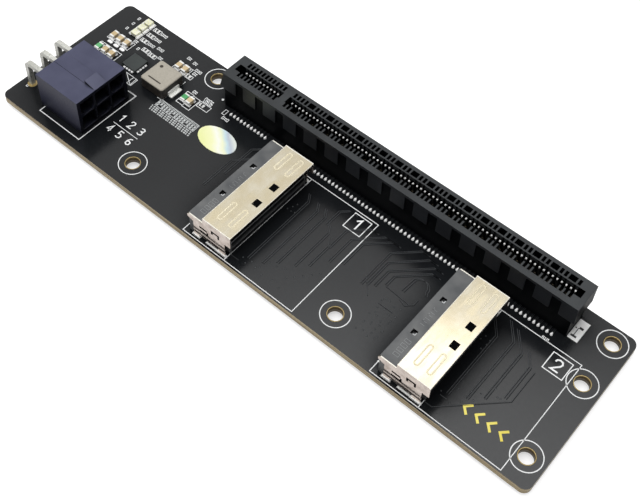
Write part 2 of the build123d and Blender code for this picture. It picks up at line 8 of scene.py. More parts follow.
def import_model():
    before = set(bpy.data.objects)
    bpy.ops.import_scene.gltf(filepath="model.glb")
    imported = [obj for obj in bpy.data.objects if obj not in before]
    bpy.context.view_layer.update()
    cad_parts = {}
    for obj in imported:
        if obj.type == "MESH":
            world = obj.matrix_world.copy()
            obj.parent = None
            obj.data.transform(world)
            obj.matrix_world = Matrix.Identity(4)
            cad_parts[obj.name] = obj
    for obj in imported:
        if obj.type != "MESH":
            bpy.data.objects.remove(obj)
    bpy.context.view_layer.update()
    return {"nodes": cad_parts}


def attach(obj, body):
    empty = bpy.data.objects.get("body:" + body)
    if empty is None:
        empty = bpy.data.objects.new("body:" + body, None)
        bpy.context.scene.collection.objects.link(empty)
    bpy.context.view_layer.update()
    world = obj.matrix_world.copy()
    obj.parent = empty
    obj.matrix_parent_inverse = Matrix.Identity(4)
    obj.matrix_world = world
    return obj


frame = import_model()
nodes = frame["nodes"]

# Places and sizes are millimetres in the part's own frame, turned into metres as each piece is made.
# X runs along the board, Y from the sockets' edge to the card slot's edge, and Z is up.

MM = 0.001
BOARD_TOP = 2.8
BOARD_LOW = 1.2
HALF_LENGTH = 69.3
HALF_WIDTH = 19.4
# How deep a raised piece reaches into what carries it
SUNK = 0.01
# The middle of the card gap along Y
SLOT_Y = 14.25
HOLES = [(-33.7, -13.8), (21.8, -13.8), (65.5, -13.8), (65.5, 4.85), (65.5, 15.75), (-36.9, 15.75)]
HOLE_RADIUS = 1.6
# The rear edge of each cable socket along X, then the sockets' middle and side walls along Y
SOCKETS = [-13.85, 34.35]
SOCKET_Y = -5.55
SOCKET_FRONT = -18.1
SOCKET_BACK = 2 * SOCKET_Y - SOCKET_FRONT
SHELL_TOP = 9.9
BLOCK_TOP = BOARD_TOP + 5.75


# Shader helpers: a colour is written as it looks on screen, a depth, distance or edge in metres

def hexa(code):
    """A colour code turned into linear light."""
    values = [int(code[i:i + 2], 16) / 255 for i in (0, 2, 4)]
    return tuple(v / 12.92 if v < 0.04045 else ((v + 0.055) / 1.055) ** 2.4 for v in values)


def new_material(name, code, roughness, metallic=0.0, specular=0.5):
    material = bpy.data.materials.new(name)
    material.use_nodes = True
    shader = material.node_tree.nodes["Principled BSDF"]
    shader.inputs["Base Color"].default_value = (*hexa(code), 1.0)
    shader.inputs["Roughness"].default_value = roughness
    shader.inputs["Metallic"].default_value = metallic
    shader.inputs["Specular IOR Level"].default_value = specular
    return material, material.node_tree, shader


def node(tree, kind, **values):
    made = tree.nodes.new(kind)
    for key, value in values.items():
        setattr(made, key, value)
    return made


def feed(tree, socket, value):
    """Gives a socket a number, a colour code or another node's output."""
    if isinstance(value, str):
        socket.default_value = (*hexa(value), 1.0)
    elif isinstance(value, (int, float)):
        socket.default_value = value
    else:
        tree.links.new(value, socket)


def calculate(tree, operation, *values):
    """A Math node over numbers and other nodes' outputs."""
    made = node(tree, "ShaderNodeMath", operation=operation)
    for socket, value in zip(made.inputs, values):
        feed(tree, socket, value)
    return made.outputs[0]


def noise(tree, scale, detail=3.0, rough=0.55, stretch=(1, 1, 1)):
    """Noise in the part's own space."""
    place = node(tree, "ShaderNodeTexCoord")
    mapping = node(tree, "ShaderNodeMapping")
    mapping.inputs["Scale"].default_value = stretch
    tree.links.new(place.outputs["Object"], mapping.inputs["Vector"])
    made = node(tree, "ShaderNodeTexNoise")
    made.inputs["Scale"].default_value = scale
    made.inputs["Detail"].default_value = detail
    made.inputs["Roughness"].default_value = rough
    tree.links.new(mapping.outputs["Vector"], made.inputs["Vector"])
    return made.outputs["Fac"]


def ramp(tree, factor, low, high, start=0.3, end=0.7):
    """Maps a factor that goes from start to end to a number from low to high."""
    made = node(tree, "ShaderNodeMapRange")
    made.inputs["From Min"].default_value = start
    made.inputs["From Max"].default_value = end
    made.inputs["To Min"].default_value = low
    made.inputs["To Max"].default_value = high
    tree.links.new(factor, made.inputs["Value"])
    return made.outputs["Result"]


def spread(tree, factor, start=0.3, end=0.7):
    """Maps a factor that goes from start to end to the whole of 0 to 1."""
    return ramp(tree, factor, 0.0, 1.0, start, end)


def blend(tree, factor, first, second):
    """Mixes two colours."""
    made = node(tree, "ShaderNodeMix", data_type="RGBA")
    feed(tree, made.inputs["Factor"], factor)
    feed(tree, made.inputs["A"], first)
    feed(tree, made.inputs["B"], second)
    return made.outputs["Result"]


def relief(tree, shader, height, depth, edge=0.0):
    """Bump of a depth in metres, over edges that are rounded by edge metres."""
    bump = node(tree, "ShaderNodeBump")
    bump.inputs["Strength"].default_value = 1.0
    bump.inputs["Distance"].default_value = depth
    tree.links.new(height, bump.inputs["Height"])
    if edge:
        rounded = node(tree, "ShaderNodeBevel", samples=4)
        rounded.inputs["Radius"].default_value = edge
        tree.links.new(rounded.outputs["Normal"], bump.inputs["Normal"])
    tree.links.new(bump.outputs["Normal"], shader.inputs["Normal"])


def openness(tree, distance, samples):
    """1 where nothing stands within distance metres, less where the surface is hemmed in."""
    shade = node(tree, "ShaderNodeAmbientOcclusion", samples=samples)
    shade.inputs["Distance"].default_value = distance
    return shade.outputs["AO"]


def axis_of(tree, vector, axis):
    parts = node(tree, "ShaderNodeSeparateXYZ")
    tree.links.new(vector, parts.inputs["Vector"])
    return parts.outputs[axis]


def own_axis(tree, axis):
    """A coordinate of the part's own space, in metres."""
    return axis_of(tree, node(tree, "ShaderNodeTexCoord").outputs["Object"], axis)


def above(tree, height):
    """0 below a height in millimetres and 1 above it, over a soft edge 0.2 mm wide."""
    return spread(tree, own_axis(tree, "Z"), (height - 0.1) * MM, (height + 0.1) * MM)


def facing(tree, axis):
    """How far the true surface faces along an axis, from -1 to 1."""
    return axis_of(tree, node(tree, "ShaderNodeNewGeometry").outputs["True Normal"], axis)


def is_level(tree):
    """1 on level faces, 0 on upright ones."""
    upright = calculate(tree, "ABSOLUTE", facing(tree, "Z"))
    return calculate(tree, "GREATER_THAN", upright, 0.5)


# Materials

CLOUD = 240


def moulded(name, code, other, roughness, scale, depth=0.000006, edge=0.0001, specular=0.5):
    """Moulded plastic: fine matt grain, cloudy tone and softened edges."""
    material, tree, shader = new_material(name, code, roughness, 0.0, specular)
    cloud = spread(tree, noise(tree, CLOUD, 2.0))
    tree.links.new(blend(tree, cloud, code, other), shader.inputs["Base Color"])
    grain = noise(tree, scale, 4.0, 0.6)
    tree.links.new(ramp(tree, grain, roughness - 0.06, roughness + 0.08), shader.inputs["Roughness"])
    relief(tree, shader, grain, depth, edge)
    return material


def metal(name, code, other, roughness, scale, depth, edge, metallic):
    """Plated metal with faint marks, stains and softened edges."""
    material, tree, shader = new_material(name, code, roughness, metallic)
    stain = spread(tree, noise(tree, 330, 4.0, 0.6), start=0.35, end=0.75)
    tree.links.new(blend(tree, stain, code, other), shader.inputs["Base Color"])
    marks = noise(tree, scale, 4.0, 0.6)
    tree.links.new(ramp(tree, marks, roughness - 0.08, roughness + 0.12), shader.inputs["Roughness"])
    relief(tree, shader, marks, depth, edge)
    return material


def board_material():
    """Dark solder mask on both faces, woven glass and resin layers on the cut edge."""
    material, tree, shader = new_material("board_mask", "161719", 0.18, specular=0.65)
    mask = blend(tree, spread(tree, noise(tree, 45)), "131416", "191b1d")
    layers = noise(tree, 40, rough=0.6, stretch=(1, 1, 160))
    edge = blend(tree, spread(tree, layers, start=0.4, end=0.6), "988262", "dac89f")
    tree.links.new(blend(tree, is_level(tree), edge, mask), shader.inputs["Base Color"])
    weave = noise(tree, 1500, detail=2.0, rough=0.5)
    tree.links.new(ramp(tree, weave, 0.16, 0.2), shader.inputs["Roughness"])
    # The mask mirrors less light beside the tall parts
    near = openness(tree, distance=0.012, samples=12)
    gloss = ramp(tree, near, 0.06, 0.65, start=0.6, end=0.93)
    tree.links.new(gloss, shader.inputs["Specular IOR Level"])
    relief(tree, shader, weave, 0.000001)
    return material


def contact_material():
    """Tin on the foot and gold on the spring, both drawn far darker than the bare metals with painted
    shade.
    """
    foot_top = 5.0
    material, tree, shader = new_material("slot_contact", "d9dcdc", 0.28, metallic=0.7)
    stain = spread(tree, noise(tree, 900))
    # Painted shade: the feet beside the housing and the springs inside it are drawn near black.
    shaded_tin = blend(tree, stain, "3c3e40", "2b2d2f")
    gold = blend(tree, stain, "2e2718", "1d180e")
    tree.links.new(blend(tree, above(tree, foot_top), shaded_tin, gold), shader.inputs["Base Color"])
    relief(tree, shader, noise(tree, 3000), depth=0.000003, edge=0.00003)
    return material


def slot_material():
    """Black moulded housing: its level tops drawn lighter than its upright sides as painted light, and
    painted shade in the grooves between the panels of its long sides.
    """
    panel_from_middle = 3.2
    material, tree, shader = new_material("slot_plastic", "1e1f21", 0.42)
    level = is_level(tree)
    cloud = spread(tree, noise(tree, CLOUD, 2.0))
    # Painted light and shade: the level tops take a lighter tone than the upright sides.
    top = blend(tree, cloud, "27292b", "313436")
    side = blend(tree, cloud, "181a1e", "202327")
    # Painted shade: upright faces in the grooves between the side panels are drawn near black and mirror
    # less light.
    distance = calculate(tree, "ABSOLUTE", calculate(tree, "SUBTRACT", own_axis(tree, "Y"), SLOT_Y * MM))
    groove_shade = calculate(tree, "LESS_THAN", distance, panel_from_middle * MM)
    upright = blend(tree, groove_shade, side, "050608")
    tree.links.new(blend(tree, level, upright, top), shader.inputs["Base Color"])
    dark = calculate(tree, "SUBTRACT", groove_shade, level)
    tree.links.new(ramp(tree, dark, 0.5, 0.06, start=0.0, end=1.0), shader.inputs["Specular IOR Level"])
    grain = noise(tree, 2400, 4.0, 0.6)
    tree.links.new(ramp(tree, grain, 0.34, 0.46), shader.inputs["Roughness"])
    relief(tree, shader, grain, depth=0.000005, edge=0.00012)
    return material


def header_material():
    """Dark blue-grey moulding, drawn nearly black with painted shade at its mouth and inside its cells, and
    darker on its front.
    """
    material, tree, shader = new_material("header_plastic", "3d3f55", 0.4)
    skin = blend(tree, spread(tree, noise(tree, CLOUD, 2.0)), "3d3f55", "484a60")
    mouth = facing(tree, "X")
    front = facing(tree, "Y")
    # Painted shade: faces turned to +X, the mouth, are drawn near black and mirror less light; faces turned
    # to -Y are drawn darker.
    skin = blend(tree, ramp(tree, mouth, 0.0, 0.95, start=0.5, end=0.9), skin, "0b0c15")
    skin = blend(tree, ramp(tree, front, 0.0, 0.5, start=-0.5, end=-0.9), skin, "0e1026")
    # Painted shade inside the cells and other hemmed-in places.
    hollow = spread(tree, openness(tree, distance=0.006, samples=8), start=0.42, end=0.9)
    tree.links.new(blend(tree, hollow, "04050a", skin), shader.inputs["Base Color"])
    tree.links.new(ramp(tree, mouth, 0.5, 0.1, start=0.5, end=0.9), shader.inputs["Specular IOR Level"])
    grain = noise(tree, 2000, 4.0, 0.6)
    tree.links.new(ramp(tree, grain, 0.34, 0.48), shader.inputs["Roughness"])
    relief(tree, shader, grain, depth=0.000006, edge=0.00016)
    return material


def shell_material():
    """Plated sheet: pale warm metal with soft patches and faint brushing, its upright sides drawn darker
    and cooler in painted shade, with blotches.
    """
    material, tree, shader = new_material("shell_metal", "f3e7c5", 0.24, metallic=0.9)
    patch = spread(tree, noise(tree, 210, rough=0.6), start=0.42, end=0.66)
    streak = spread(tree, noise(tree, 520, 4.0, 0.6, stretch=(1, 0.3, 1)), start=0.4, end=0.72)
    plate = blend(tree, patch, "fbf2da", "f1e4c4")
    top = blend(tree, streak, plate, "eee1bf")
    # Painted shade: the upright sides take darker, cooler colours than the level top.
    stain = spread(tree, noise(tree, 480, 4.0, 0.65), start=0.42, end=0.7)
    side = blend(tree, stain, "e2d5cc", "b7a89e")
    tree.links.new(blend(tree, is_level(tree), side, top), shader.inputs["Base Color"])
    tree.links.new(ramp(tree, streak, 0.1, 0.18), shader.inputs["Roughness"])
    relief(tree, shader, streak, depth=0.0000005, edge=0.0001)
    return material


def inductor_material():
    """Pressed iron powder: a pale grey-brown ground top, with sides drawn much darker in painted shade."""
    shaded_sides_top = 5.7
    material, tree, shader = new_material("pressed_powder", "b9ad9d", 0.6)
    grain = noise(tree, 2800, 5.0, 0.65)
    top = blend(tree, spread(tree, grain), "a49e92", "b4aea2")
    # Painted shade: below the top, the sides are drawn nearly black.
    side = blend(tree, spread(tree, noise(tree, 700, 4.0)), "1d1b19", "3c3631")
    tree.links.new(blend(tree, above(tree, shaded_sides_top), side, top), shader.inputs["Base Color"])
    relief(tree, shader, grain, depth=0.000006, edge=0.00008)
    return material


def lens_material():
    """Cloudy clear plastic over the lamps' bases."""
    material, tree, shader = new_material("lens_plastic", "efedcf", 0.25)
    shader.inputs["Subsurface Weight"].default_value = 0.4
    shader.inputs["Subsurface Radius"].default_value = (0.0006, 0.0006, 0.0003)
    tint = spread(tree, noise(tree, 900, detail=2.0))
    tree.links.new(blend(tree, tint, "f4f3df", "dfe0c0"), shader.inputs["Base Color"])
    relief(tree, shader, noise(tree, 2200, detail=2.0), depth=0.000004, edge=0.00016)
    return material


def sticker_material():
    """Thin film with a pale rainbow sheen that runs across the oval."""
    slant, waviness, first, last = 1.25, 0.004, -0.0253, -0.0137
    material, tree, shader = new_material("sticker_film", "f2f3cf", 0.3)
    across = calculate(tree, "MULTIPLY_ADD", own_axis(tree, "Y"), slant, own_axis(tree, "X"))
    wave = calculate(tree, "MULTIPLY_ADD", noise(tree, CLOUD, 2.0), waviness, across)
    bands = node(tree, "ShaderNodeValToRGB")
    colours = [(0.0, "eef2ae"), (0.3, "f6f8c4"), (0.48, "fbfcf0"), (0.62, "f3f6d2"), (0.74, "cbe2ea"),
               (0.84, "bfc8d4"), (1.0, "e3e9e2")]
    while len(bands.color_ramp.elements) < len(colours):
        bands.color_ramp.elements.new(0.5)
    for element, (position, code) in zip(bands.color_ramp.elements, colours):
        element.position = position
        element.color = (*hexa(code), 1.0)
    tree.links.new(spread(tree, wave, first, last), bands.inputs["Fac"])
    tree.links.new(bands.outputs["Color"], shader.inputs["Base Color"])
    relief(tree, shader, noise(tree, 1500, detail=2.0), depth=0.000002, edge=0.00005)
    return material


def ceramic(name, code, other):
    return moulded(name, code, other, 0.38, 1800, edge=0.00006)


def ink(name, code, other, roughness=0.6):
    return moulded(name, code, other, roughness, 3000, depth=0.000003, edge=0.0, specular=0.3)


MASK = board_material()
CONTACT = contact_material()
SHELL_METAL = shell_material()
GREY_PLASTIC = moulded("grey_plastic", "4e5052", "6b6c6c", 0.45, 2300)
PALE_GREY = moulded("pale_grey", "7b7d7e", "8c8e8f", 0.45, 2300)
# Near black: the mask in the bare footprint's gaps, and painted shade on the blocks' noses.
DARK_MASK_AND_SHADE = moulded("dark_mask_and_shade", "08090b", "101113", 0.4, 2300)
# The comb's rails take the housing's lighter top tone on every face, with its painted light.
RAIL_PLASTIC = moulded("rail_plastic", "27292b", "313436", 0.4, 2400)
NOSE_EDGE = moulded("nose_edge", "8f9294", "a6a9aa", 0.4, 2600)
# Painted highlight along the lit edges of the blocks' notches.
NOTCH_HIGHLIGHT = moulded("notch_highlight", "c6c8c9", "b2b4b5", 0.4, 2300)
CHIP_PLASTIC = moulded("chip_plastic", "2b2f2f", "353a39", 0.5, 3000, edge=0.00005)
DEEP_SHADE = moulded("deep_shade", "050607", "0a0a0b", 0.9, 2300, edge=0.0, specular=0.05)
# Traces and vias are drawn lighter than the mask as a painted highlight on their relief; the trace shade is
# painted shade beside them.
TRACE_HIGHLIGHT = moulded("raised_trace_highlight", "343638", "3f4143", 0.35, 1500, depth=0.000001, edge=0.0, specular=0.4)
TRACE_SHADE = moulded("trace_shade", "101113", "18191b", 0.5, 1500, depth=0.000001, edge=0.0, specular=0.2)
INK = ink("print_ink", "f6f7f7", "e6e8e8")
FINE_INK = ink("fine_ink", "cfd2d2", "bfc2c2")
YELLOW_INK = ink("yellow_ink", "efe27a", "e2d160", 0.55)
DARK_INK = ink("dark_ink", "3a3631", "4a453f")
# Painted highlight on the shells' edges, drawn paler and duller than the sheet.
EDGE_HIGHLIGHT_METAL = metal("painted_edge_highlight", "fbf8ee", "efe9da", 0.25, 1400, depth=0.000002, edge=0.00005, metallic=0.2)
# The ribs are the shell's own sheet, drawn paler and less mirror-like than it as a painted highlight.
RIB_HIGHLIGHT_METAL = metal("pressed_rib_highlight", "f6ecd0", "ede2c2", 0.3, 1400, depth=0.000002, edge=0.0, metallic=0.25)
BRIGHT_TIN = metal("bright_tin", "ffffff", "fbfbf9", 0.2, 1800, depth=0.000001, edge=0.00005, metallic=0.0)
TIN = metal("tinned_metal", "e6e6df", "c0c0b7", 0.3, 1400, depth=0.000003, edge=0.00008, metallic=0.45)
SOLDER = metal("solder", "fafaf8", "e6e6e3", 0.24, 1800, depth=0.000004, edge=0.00006, metallic=0.05)
PLATE = metal("flat_tin", "f6f6f2", "e2e2dc", 0.28, 900, depth=0.000001, edge=0.0, metallic=0.1)
GOLD = metal("gold_plate", "d0ba86", "ac9459", 0.32, 1200, depth=0.000004, edge=0.00005, metallic=0.6)
# The holes' walls: the gold of their rims drawn darker as painted shade.
SHADED_HOLE_GOLD = metal("shaded_hole_wall", "66573d", "483b25", 0.4, 1200, depth=0.000004, edge=0.0, metallic=0.6)


# The solids of the frame keep their shapes and take these looks

LOOKS = {
    "circuit_board": MASK,
    "slot_housing": slot_material(),
    "slot_contacts_front": CONTACT,
    "slot_contacts_back": CONTACT,
    "power_header_housing": header_material(),
    "power_pins_upper": TIN,
    "power_pins_lower": TIN,
    "socket_1_shell": SHELL_METAL,
    "socket_1_block": GREY_PLASTIC,
    "socket_1_contacts": TIN,
    "socket_2_shell": SHELL_METAL,
    "socket_2_block": GREY_PLASTIC,
    "socket_2_contacts": TIN,
    "regulator_chip": CHIP_PLASTIC,
    "regulator_leads": BRIGHT_TIN,
    "inductor_core": inductor_material(),
    "inductor_terminals": PLATE,
    "capacitor_bodies": ceramic("tan_ceramic", "dac6a0", "c3ac84"),
    "capacitor_ends": SOLDER,
    "fuse_bodies": ceramic("green_plastic", "4c9c60", "74bd83"),
    "fuse_ends": SOLDER,
    "resistor_bodies": ceramic("black_resistor", "1d1f20", "2b2d2e"),
    "resistor_ends": SOLDER,
    "led_bases": ceramic("white_plastic", "e6e3d2", "f1eee0"),
    "led_ends": SOLDER,
    "led_lenses": lens_material()}

for node_name, look in LOOKS.items():
    if not nodes[node_name].material_slots:
        nodes[node_name].data.materials.append(look)
    for slot in nodes[node_name].material_slots:
        slot.material = look


# Geometry helpers

def add(name, data):
    """A new object in the scene."""
    made = bpy.data.objects.new(name, data)
    bpy.context.scene.collection.objects.link(made)
    return made


def make_piece(name, mesh_builder, material, smooth=False):
    mesh = bpy.data.meshes.new(name)
    bm = bmesh.new()
    mesh_builder(bm)
    bmesh.ops.scale(bm, vec=(MM, MM, MM), verts=bm.verts)
    bmesh.ops.recalc_face_normals(bm, faces=bm.faces)
    bm.to_mesh(mesh)
    bm.free()
    for polygon in mesh.polygons:
        polygon.use_smooth = smooth
    piece = add(name, mesh)
    mesh.materials.append(material)
    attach(piece, "root")


def on(base, height):
    """The span in Z of what stands on a base, or hangs below it where height is negative."""
    return base - math.copysign(SUNK, height), base + height


def about(middle, half):
    """The span of what is as wide on both sides of its middle."""
    return middle - half, middle + half


def rectangle(x_span, y_span, margin=0.0):
    """The four corners of two spans, moved out by a margin."""
    (left, right), (front, back) = x_span, y_span
    return [(left - margin, front - margin), (right + margin, front - margin),
            (right + margin, back + margin), (left - margin, back + margin)]


def circle(x, y, radius, count=48, start=0.0, turn=360.0):
    """Points along a circle, or along an arc that takes in both of its ends."""
    steps = count if turn >= 360.0 else count + 1
    angles = [math.radians(start + turn * i / count) for i in range(steps)]
    return [(x + radius * math.cos(angle), y + radius * math.sin(angle)) for angle in angles]


def stadium(x, y, width, length):
    """A long rounded outline that lies along Y."""
    half = (length - width) / 2
    radius = width / 2
    return circle(x, y + half, radius, 8, 0.0, 180.0) + circle(x, y - half, radius, 8, 180.0, 180.0)


def slab(bm, outline, z_span, share=1.0):
    """A solid over an outline of (x, y) points, drawn in to a share of its plan at its second height."""
    count = len(outline)
    low, high = z_span
    middle_x = sum(x for x, y in outline) / count
    middle_y = sum(y for x, y in outline) / count
    bottom = [bm.verts.new((x, y, low)) for x, y in outline]
    top = [bm.verts.new((middle_x + (x - middle_x) * share, middle_y + (y - middle_y) * share, high))
           for x, y in outline]
    bm.faces.new(top)
    bm.faces.new(list(reversed(bottom)))
    for i in range(count):
        j = (i + 1) % count
        bm.faces.new((top[i], bottom[i], bottom[j], top[j]))


def box(bm, x_span, y_span, z_span):
    slab(bm, rectangle(x_span, y_span), z_span)


def ribbon(bm, points, width, z_span, closed=False, crest=1.0):
    """A line of even width along points, mitred at its corners; crest is its top's share of the width."""
    points = [Vector((x, y)) for x, y in points]
    count = len(points)
    low, high = z_span
    rows = []
    for i, point in enumerate(points):
        before = points[i - 1] if (i or closed) else None
        after = points[(i + 1) % count] if (i < count - 1 or closed) else None
        first = (point - before).normalized() if before is not None else (after - point).normalized()
        second = (after - point).normalized() if after is not None else first
        along = (first + second).normalized()
        side = Vector((-along.y, along.x))
        reach = width / 2 / max(0.35, side.dot(Vector((-first.y, first.x))))
        corners = [(point + side * reach * crest, high), (point - side * reach * crest, high),
                   (point - side * reach, low), (point + side * reach, low)]
        rows.append([bm.verts.new((p.x, p.y, z)) for p, z in corners])
    for i in range(count if closed else count - 1):
        a, b = rows[i], rows[(i + 1) % count]
        for k in range(4):
            m = (k + 1) % 4
            bm.faces.new((a[k], a[m], b[m], b[k]))
    if not closed:
        bm.faces.new(rows[0])
        bm.faces.new(list(reversed(rows[-1])))


def ring(bm, x, y, inner, outer, z_span, count=48):
    ribbon(bm, circle(x, y, (inner + outer) / 2, count), outer - inner, z_span, True)


def islands(name):
    """The low and high corner of each separate solid of a node, in millimetres."""
    bm = bmesh.new()
    bm.from_mesh(nodes[name].data)
    bm.transform(nodes[name].matrix_world)
    bmesh.ops.remove_doubles(bm, verts=bm.verts, dist=0.000001)
    waiting = set(bm.verts)
    found = []
    while waiting:
        group = [waiting.pop()]
        for vert in group:
            for edge in vert.link_edges:
                other = edge.other_vert(vert)
                if other in waiting:
                    waiting.remove(other)
                    group.append(other)
        columns = list(zip(*[vert.co / MM for vert in group]))
        found.append((tuple(min(column) for column in columns), tuple(max(column) for column in columns)))
    bm.free()
    return sorted(found)


# Solder and other small pieces on the board and the card slot, most of them set by a solid's own box

THIN_SKIN = 0.1
# The two runs of the slot's comb along X, its two rails along Y from the card gap, and their heights
COMB_RUNS = [(-29.3, -16.7), (-15.2, 57.4)]
COMB_RAILS = [(0.95, 1.28), (-2.65, -2.1)]
COMB_HEIGHTS = (12.5, 13.38)
ROUND_PADS = [(-63.6, 7.72), (-61.65, 7.72), (-59.7, 7.74)]
BARE_FOOTPRINT = ((57.95, 60.25), (11.45, 16.55))
FOOTPRINT_GAPS = [((58.9, 59.75), (14.35, 14.85)), ((58.3, 59.5), (12.05, 12.5)),
                  ((58.75, 58.9), (12.5, 14.4)), ((58.2, 58.5), (14.1, 14.35))]
# The legs of each shell and its front tab, along X from the socket's rear edge
LEGS = [(2.3, 3.8), (8.9, 10.8)]
TAB = (5.6, 8.6)
HALF_PIN = 0.535


def slot_solder(bm):
    """Solder on each foot: round at its outer end, narrow towards the housing."""
    radius, inset, half_tail, length = 0.33, 0.15, 0.12, 0.62
    for name, side in (("slot_contacts_front", -1), ("slot_contacts_back", 1)):
        for low, high in islands(name):
            x = (low[0] + high[0]) / 2
            centre = (low[1] if side < 0 else high[1]) - side * inset
            tail = centre - side * length
            outline = circle(x, centre, radius, 8, 180.0 if side < 0 else 0.0, 180.0)
            outline += [(x - side * half_tail, tail), (x + side * half_tail, tail)]
            slab(bm, outline, on(BOARD_TOP, 0.3), 0.7)


def contact_tips(bm):
    """The rounded end of each spring of the back row, turned away from the card."""
    width, down, up = 0.42, 0.12, 0.14
    for low, high in islands("slot_contacts_back"):
        outline = rectangle((low[0], high[0]), (low[1], low[1] + width))
        slab(bm, outline, (high[2] - down, high[2] + up), 0.7)


def comb_rails(bm):
    """The rail between the card gap and the back recesses, and the ledge that closes the front row."""
    for x_span in COMB_RUNS:
        for low, high in COMB_RAILS:
            box(bm, x_span, (SLOT_Y + low, SLOT_Y + high), COMB_HEIGHTS)


def pads_round(names, margin, height, share):
    """A piece builder for solder that stands out by a margin round the foot of each solid."""
    def builder(bm):
        for name in names:
            for low, high in islands(name):
                outline = rectangle((low[0], high[0]), (low[1], high[1]), margin)
                slab(bm, outline, on(BOARD_TOP, height), share)
    return builder


def bare_pads(bm):
    """Pads that carry no part, with a thin skin of solder."""
    radius, half_length = 0.42, 0.35
    for x, y in ROUND_PADS:
        outline = circle(x + half_length, y, radius, 6, -90.0, 180.0)
        outline += circle(x - half_length, y, radius, 6, 90.0, 180.0)
        slab(bm, outline, on(BOARD_TOP, THIN_SKIN), 0.75)
    slab(bm, rectangle(*BARE_FOOTPRINT), on(BOARD_TOP, THIN_SKIN), 0.96)


def pad_gaps(bm):
    """The dark mask that shows between the two halves of the bare footprint."""
    for x_span, y_span in FOOTPRINT_GAPS:
        box(bm, x_span, y_span, (BOARD_TOP, BOARD_TOP + THIN_SKIN + 0.03))


def tail_pads(bm):
    """The pads of the sockets' tails, which reach out behind them."""
    reach, margin = 0.45, 0.03
    for number in ("1", "2"):
        for low, high in islands("socket_%s_contacts" % number):
            outline = rectangle((low[0] - reach, high[0]), (low[1] - margin, high[1] + margin))
            slab(bm, outline, on(BOARD_TOP, THIN_SKIN), 0.9)


def leg_solder(bm):
    """Solder where the shells' legs and tabs meet the board, above and below it."""
    inward, outward, above_margin, below_margin, half_below = 0.3, 0.35, 0.35, 0.4, 0.7
    for rear in SOCKETS:
        for low, high in LEGS:
            for y, side in ((SOCKET_FRONT, -1), (SOCKET_BACK, 1)):
                y_span = sorted((y - side * inward, y + side * outward))
                upper = rectangle((rear + low - above_margin, rear + high + above_margin), y_span)
                lower = rectangle((rear + low - below_margin, rear + high + below_margin),
                                  about(y, half_below))
                slab(bm, upper, on(BOARD_TOP, 0.3), 0.8)
                slab(bm, lower, on(BOARD_LOW, -0.7), 0.55)
        tab = rectangle((rear + TAB[0], rear + TAB[1]), (SOCKET_FRONT - 0.25, SOCKET_FRONT + 0.2))
        slab(bm, tab, on(BOARD_TOP, 0.16), 0.85)


def pin_places():
    """Where the header's pins go into the board."""
    for name in ("power_pins_upper", "power_pins_lower"):
        for low, high in islands(name):
            yield low[0] + HALF_PIN, (low[1] + high[1]) / 2


def pin_pads(bm):
    inner, upper, lower, height = 0.72, 1.08, 1.15, 0.05
    for x, y in pin_places():
        ring(bm, x, y, inner, upper, on(BOARD_TOP, height), 24)
        ring(bm, x, y, inner, lower, on(BOARD_LOW, -height), 24)


def pin_solder(bm):
    for x, y in pin_places():
        slab(bm, circle(x, y, 0.95, 16), on(BOARD_LOW, -0.8), 0.62)
        slab(bm, circle(x, y, 0.85, 16), on(BOARD_TOP, 0.2), 0.75)


CHIP_ENDS = ("capacitor_ends", "fuse_ends", "resistor_ends", "led_ends")

make_piece("slot_solder", slot_solder, BRIGHT_TIN)
make_piece("contact_tips", contact_tips, BRIGHT_TIN)
make_piece("comb_rails", comb_rails, RAIL_PLASTIC)
make_piece("chip_solder", pads_round(CHIP_ENDS, 0.16, 0.22, 0.86), BRIGHT_TIN)
make_piece("regulator_solder", pads_round(["regulator_leads"], 0.14, 0.2, 0.9), BRIGHT_TIN)
make_piece("bare_pads", bare_pads, BRIGHT_TIN)
make_piece("pad_gaps", pad_gaps, DARK_MASK_AND_SHADE)
make_piece("tail_pads", tail_pads, SOLDER)
make_piece("leg_solder", leg_solder, SOLDER)
make_piece("pin_pads", pin_pads, GOLD)
make_piece("pin_solder", pin_solder, GOLD, True)


# Details of the cable sockets: places along X are measured from each socket's rear edge

NOSE_X = 11.2
RIBS_X = (7.3, 10.2)
RIBS_Y = (3.35, -13.35)
WINDOW = (9.4, 11.3)
WALL = 0.26
# The slits of each side wall: their ends along X, then their heights over the board
SLITS = [(4.0, 6.0, 3.5, 4.0), (4.0, 6.3, 2.35, 2.85), (5.95, 6.35, 2.35, 3.45),
         (7.2, 7.65, 4.25, 5.35), (7.2, 9.4, 4.88, 5.36), (8.95, 9.4, 4.05, 5.35)]


def shell_ribs(bm):
    """The stiffening ribs pressed up in the shell's top, two near each end."""
    for rear in SOCKETS:
        for y in RIBS_Y:
            for x in RIBS_X:
                ribbon(bm, stadium(rear + x, y, 1.0, 5.1), 0.36, on(SHELL_TOP, 0.09), True, 0.3)


def shell_edge_highlights(bm):
    """Painted highlights along the edges of the sheet: the tops of both side walls, the front lip and the
    step.
    """
    for rear in SOCKETS:
        for y in (SOCKET_FRONT + WALL / 2, SOCKET_BACK - WALL / 2):
            ribbon(bm, [(rear + 4.9, y), (rear + 12.35, y)], WALL, on(SHELL_TOP, 0.05), False, 0.8)
            ribbon(bm, [(rear + 1.25, y), (rear + 4.85, y)], WALL, on(BLOCK_TOP, 0.05), False, 0.8)
        for x in (rear + 12.27, rear + 4.98):
            across = [(x, SOCKET_FRONT + 0.1), (x, SOCKET_BACK - 0.1)]
            ribbon(bm, across, 0.14, on(SHELL_TOP, 0.02), False, 0.6)


